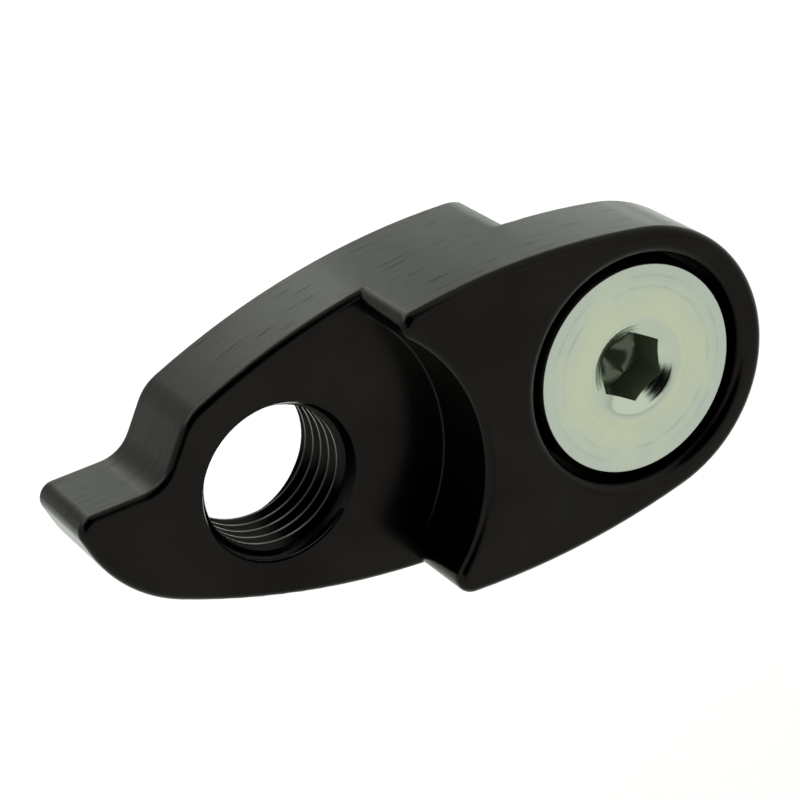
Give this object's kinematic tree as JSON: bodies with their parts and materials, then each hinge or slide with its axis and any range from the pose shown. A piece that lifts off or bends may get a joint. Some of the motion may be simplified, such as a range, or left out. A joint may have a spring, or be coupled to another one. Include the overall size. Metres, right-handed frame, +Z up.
{
  "type": "derailleur hanger extender",
  "caption": "Offset link with a threaded hole at its nose end and a mounting bolt at the other, for setting a bicycle's rear derailleur lower than its hanger.",
  "frame": {"origin": "on the mounting bolt's axis, on the face that seats on the bicycle's hanger", "axes": "+X from the threaded hole to the mounting bolt, +Y the way the bolt points, towards the bicycle, +Z up"},
  "size_m": [0.0434, 0.0136, 0.0197],
  "materials": {
    "black_anodised_aluminium": "milled, then black anodised, with a low gloss and fine lengthwise cutter marks",
    "zinc_plated_steel": "turned steel with a pale yellow-green zinc plating"
  },
  "bodies": {
    "link": {"link_body": "black_anodised_aluminium"},
    "bolt": {"mounting_bolt": "zinc_plated_steel"}
  },
  "joints": [
    {"name": "bolt_turn", "type": "hinge", "parent": "link", "child": "bolt", "pos_m": [0, 0, 0], "axis": [0, 1, 0], "continuous": true}
  ]
}
